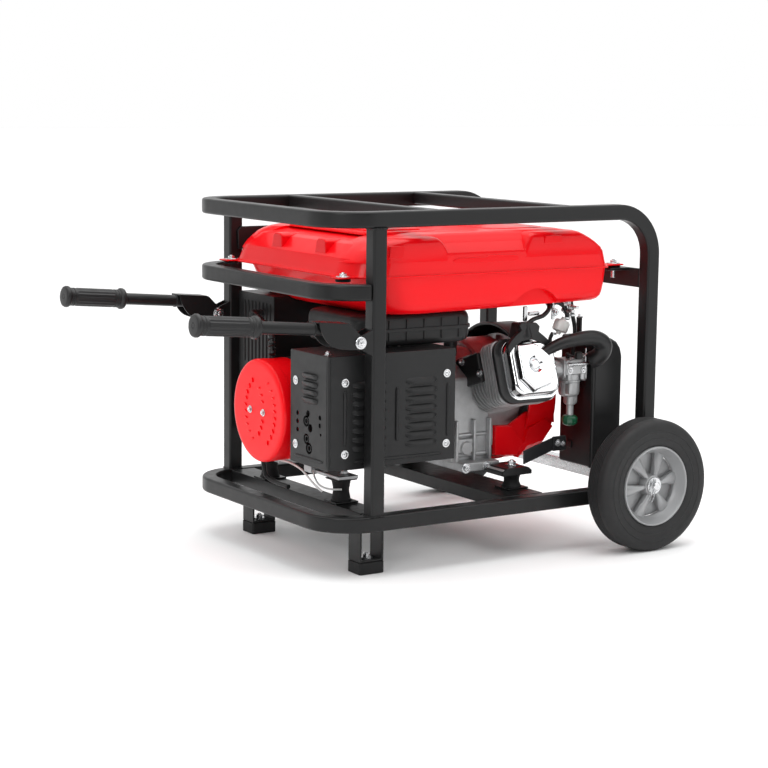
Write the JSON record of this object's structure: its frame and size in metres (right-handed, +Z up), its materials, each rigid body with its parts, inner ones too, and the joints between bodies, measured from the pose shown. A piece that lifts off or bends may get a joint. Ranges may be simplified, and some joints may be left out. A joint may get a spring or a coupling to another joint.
{
  "type": "portable generator",
  "caption": "Open-frame petrol generator: rounded tube frame, fuel tank over engine and alternator, two wheels at one end, two fold-down handles at the other.",
  "frame": {"origin": "on the ground under the middle of the whole machine", "axes": "+X from the handles to the wheels, +Y towards the control panel, +Z up"},
  "size_m": [1.0517, 0.7146, 0.6481],
  "materials": {
    "frame_paint": "satin black powder coat",
    "red_paint": "gloss red enamel",
    "box_steel": "satin dark grey paint on sheet steel",
    "rim_paint": "silver-grey paint",
    "cast_aluminium": "sand-cast, matte",
    "chrome": "polished",
    "zinc_steel": "zinc plated",
    "tyre": "solid rubber, fine rings on the tread",
    "mount_rubber": "moulded, matte",
    "grip_rubber": "moulded ribs, satin",
    "hose_rubber": "smooth hose, satin",
    "black_plastic": "fine moulded grain",
    "red_plastic": "moulded"
  },
  "bodies": {
    "chassis": {"air_cleaner_box": "black_plastic", "alternator_end_cover": "red_paint", "alternator_housing": "box_steel", "alternator_stand": "zinc_steel", "axle": "zinc_steel", "blower_housing": "red_paint", "carburetor": "cast_aluminium", "cylinder_head": "cast_aluminium", "engine_block": "cast_aluminium", "engine_rail_left": "frame_paint", "engine_rail_right": "frame_paint", "foot_bracket_far": "frame_paint", "foot_bracket_near": "frame_paint", "foot_pad_far": "mount_rubber", "foot_pad_near": "mount_rubber", "frame_base_loop": "frame_paint", "frame_mid_loop": "frame_paint", "frame_post_left_far": "frame_paint", "frame_post_left_near": "frame_paint", "frame_post_right_far": "frame_paint", "frame_post_right_near": "frame_paint", "frame_top_loop": "frame_paint", "fuel_hose": "hose_rubber", "handle_pivot_far": "zinc_steel", "handle_pivot_near": "zinc_steel", "intake_elbow": "hose_rubber", "isolator_left_far": "mount_rubber", "isolator_left_near": "mount_rubber", "isolator_right_far": "mount_rubber", "isolator_right_near": "mount_rubber", "muffler": "box_steel", "panel_box": "box_steel", "panel_face": "box_steel", "recoil_cover": "red_paint", "tank_end_bracket": "frame_paint", "tank_lower_shell": "red_paint", "tank_upper_shell": "red_paint", "top_crossbar_left": "frame_paint", "top_crossbar_right": "frame_paint", "valve_cover": "chrome", "vent_box": "box_steel", "wiring_conduit": "black_plastic"},
    "wheel_near": {"tyre_near": "tyre", "rim_near": "rim_paint"},
    "wheel_far": {"tyre_far": "tyre", "rim_far": "rim_paint"},
    "handle_near": {"handle_arm_near": "frame_paint", "handle_grip_near": "grip_rubber"},
    "handle_far": {"handle_arm_far": "frame_paint", "handle_grip_far": "grip_rubber"},
    "fuel_cap": {"fuel_cap": "black_plastic"},
    "fuel_valve_lever": {"fuel_valve_lever": "red_plastic"},
    "choke_lever": {"choke_lever": "black_plastic"},
    "oil_cap": {"oil_cap": "black_plastic"},
    "engine_switch": {"engine_switch": "red_plastic"},
    "breaker_button": {"breaker_button": "black_plastic"},
    "crank_train": {"rotor_crankshaft": "cast_aluminium", "flywheel_fan": "cast_aluminium"},
    "starter_pulley": {"starter_pulley": "black_plastic"},
    "starter_grip": {"starter_grip": "black_plastic"}
  },
  "joints": [
    {"name": "wheel_near_spin", "type": "hinge", "parent": "chassis", "child": "wheel_near", "pos_m": [0.3975, -0.3273, 0.125], "axis": [0, 1, 0], "continuous": true},
    {"name": "wheel_far_spin", "type": "hinge", "parent": "chassis", "child": "wheel_far", "pos_m": [0.3975, 0.3273, 0.125], "axis": [0, 1, 0], "continuous": true},
    {"name": "handle_near_fold", "type": "hinge", "parent": "chassis", "child": "handle_near", "pos_m": [-0.2115, -0.258, 0.423], "axis": [0, -1, 0], "range_deg": [0, 80]},
    {"name": "handle_far_fold", "type": "hinge", "parent": "chassis", "child": "handle_far", "pos_m": [-0.2115, 0.258, 0.423], "axis": [0, -1, 0], "range_deg": [0, 80]},
    {"name": "fuel_cap_turn", "type": "hinge", "parent": "chassis", "child": "fuel_cap", "pos_m": [0.092, 0.02, 0.609], "axis": [0, 0, 1], "range_deg": [0, 90]},
    {"name": "fuel_valve_turn", "type": "hinge", "parent": "chassis", "child": "fuel_valve_lever", "pos_m": [0.3, -0.205, 0.466], "axis": [0, 0, 1], "range_deg": [0, 90]},
    {"name": "choke_turn", "type": "hinge", "parent": "chassis", "child": "choke_lever", "pos_m": [0.314, -0.182, 0.36], "axis": [0, 0, 1], "range_deg": [-60, 0]},
    {"name": "oil_cap_turn", "type": "hinge", "parent": "chassis", "child": "oil_cap", "pos_m": [0.122, -0.1164, 0.186], "axis": [0, -1, 0], "range_deg": [0, 180]},
    {"name": "engine_switch_rock", "type": "hinge", "parent": "chassis", "child": "engine_switch", "pos_m": [-0.112, 0.2326, 0.404], "axis": [1, 0, 0], "range_deg": [-16, 0]},
    {"name": "breaker_press", "type": "slide", "parent": "chassis", "child": "breaker_button", "axis": [0, -1, 0], "range_m": [0, 0.003], "stiffness_N_per_m": 400},
    {"name": "crank_spin", "type": "hinge", "parent": "chassis", "child": "crank_train", "pos_m": [0, 0, 0.27], "axis": [1, 0, 0], "continuous": true},
    {"name": "starter_pulley_spin", "type": "hinge", "parent": "chassis", "child": "starter_pulley", "pos_m": [0.342, 0, 0.27], "axis": [1, 0, 0], "range_deg": [0, 600]},
    {"name": "starter_pull", "type": "slide", "parent": "chassis", "child": "starter_grip", "axis": [0, 1, 0], "range_m": [0, 0.5], "stiffness_N_per_m": 20, "springref_m": -0.1}
  ],
  "couplings": [
    {"joint": "starter_pulley_spin", "follows": "starter_pull", "rad_per_m": 20}
  ]
}
